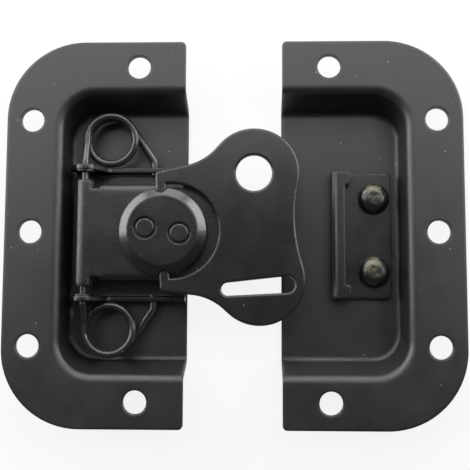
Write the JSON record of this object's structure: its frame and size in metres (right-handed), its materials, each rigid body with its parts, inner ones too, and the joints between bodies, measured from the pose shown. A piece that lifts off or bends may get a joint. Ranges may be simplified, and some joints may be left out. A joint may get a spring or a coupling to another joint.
{
  "type": "recessed butterfly latch",
  "caption": "Recessed twist latch in a split pressed dish: a folding wing turns a cam that draws a hooked bolt on a swinging arm towards a keeper.",
  "frame": {"origin": "midway between the two halves, on the underside of the dish floors", "axes": "+X from the latch half to the keeper half, +Y along the split, +Z out of the case"},
  "size_m": [0.1194, 0.101, 0.016],
  "materials": {
    "pressed_dish": "satin black powder coat on pressed steel",
    "latch_parts": "satin black coat on steel",
    "spring_wire": "black coated spring steel wire",
    "bushes": "black coated steel",
    "rivets": "black coated steel, flattened tops a little worn"
  },
  "bodies": {
    "root": {"latch_dish": "pressed_dish", "keeper_dish": "pressed_dish", "hinge_bracket": "latch_parts", "bracket_rivet_rear": "rivets", "bracket_rivet_front": "rivets", "hinge_spring_upper": "spring_wire", "hinge_spring_lower": "spring_wire", "pivot_bush_upper": "bushes", "pivot_bush_lower": "bushes", "keeper_plate": "latch_parts", "keeper_rivet_upper": "rivets", "keeper_rivet_lower": "rivets"},
    "arm": {"arm_plate": "latch_parts"},
    "drawbolt": {"drawbolt": "latch_parts"},
    "cam": {"cam_hub": "latch_parts", "cam_cap": "latch_parts", "cam_retainer": "latch_parts", "cap_rivet_left": "rivets", "cap_rivet_right": "rivets"},
    "wing": {"wing": "latch_parts"}
  },
  "joints": [
    {"name": "arm_swing", "type": "hinge", "parent": "root", "child": "arm", "pos_m": [-0.0394, 0, 0.0091], "axis": [0, -1, 0], "range_deg": [0, 110]},
    {"name": "cam_turn", "type": "hinge", "parent": "arm", "child": "cam", "pos_m": [-0.0181, 0, 0.0114], "axis": [0, 0, 1], "range_deg": [0, 180]},
    {"name": "wing_fold", "type": "hinge", "parent": "cam", "child": "wing", "pos_m": [-0.0181, 0, 0.0134], "axis": [0.0523, -0.9986, 0], "range_deg": [0, 180]},
    {"name": "draw_slide", "type": "slide", "parent": "arm", "child": "drawbolt", "axis": [1, 0, 0], "range_m": [0, 0.0034]}
  ],
  "couplings": [
    {"joint": "wing_fold", "follows": "cam_turn", "ratio": 1},
    {"joint": "draw_slide", "follows": "cam_turn", "m_per_rad": 0.0010823}
  ]
}
